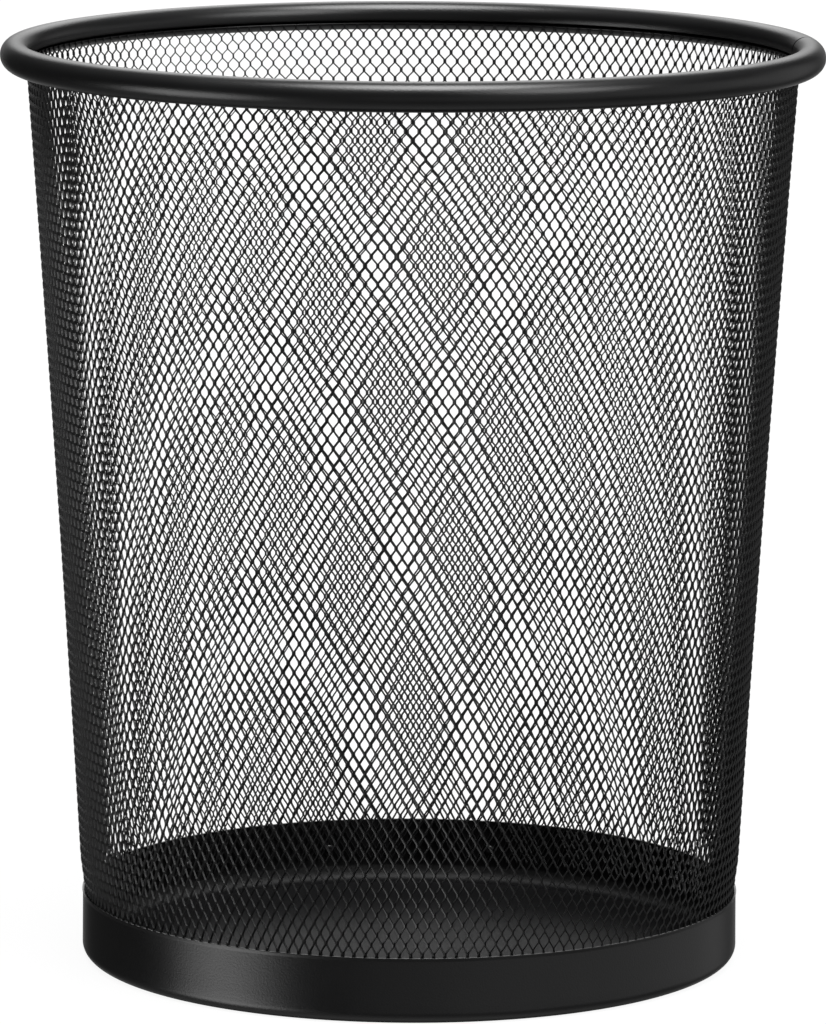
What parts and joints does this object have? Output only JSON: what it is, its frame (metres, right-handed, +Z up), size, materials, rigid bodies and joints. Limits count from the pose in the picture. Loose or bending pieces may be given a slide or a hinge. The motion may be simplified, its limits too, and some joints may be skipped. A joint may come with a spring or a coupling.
{
  "type": "wastebasket",
  "caption": "Round open-top office wastebasket: expanded steel mesh wall flaring up to a tubular rim, on a shallow solid base pan.",
  "frame": {"origin": "on the bin's axis, at the underside of the base pan, which stands on the floor", "axes": "+Z up along the bin's axis towards the open mouth; -Y is the front; +X is the right side seen from the front. The rim's butt joint and the mesh's lap seam are at 6 degrees from +X towards +Y."},
  "size_m": [0.295, 0.295, 0.333],
  "materials": {
    "black_powder_coat": "satin black powder coat over mild steel"
  },
  "bodies": {
    "root": {"rim_tube": "black_powder_coat", "rim_joint_weld": "black_powder_coat", "mesh_wall": "black_powder_coat", "mesh_seam_welds": "black_powder_coat", "base_pan": "black_powder_coat", "base_spot_welds": "black_powder_coat"}
  },
  "joints": []
}
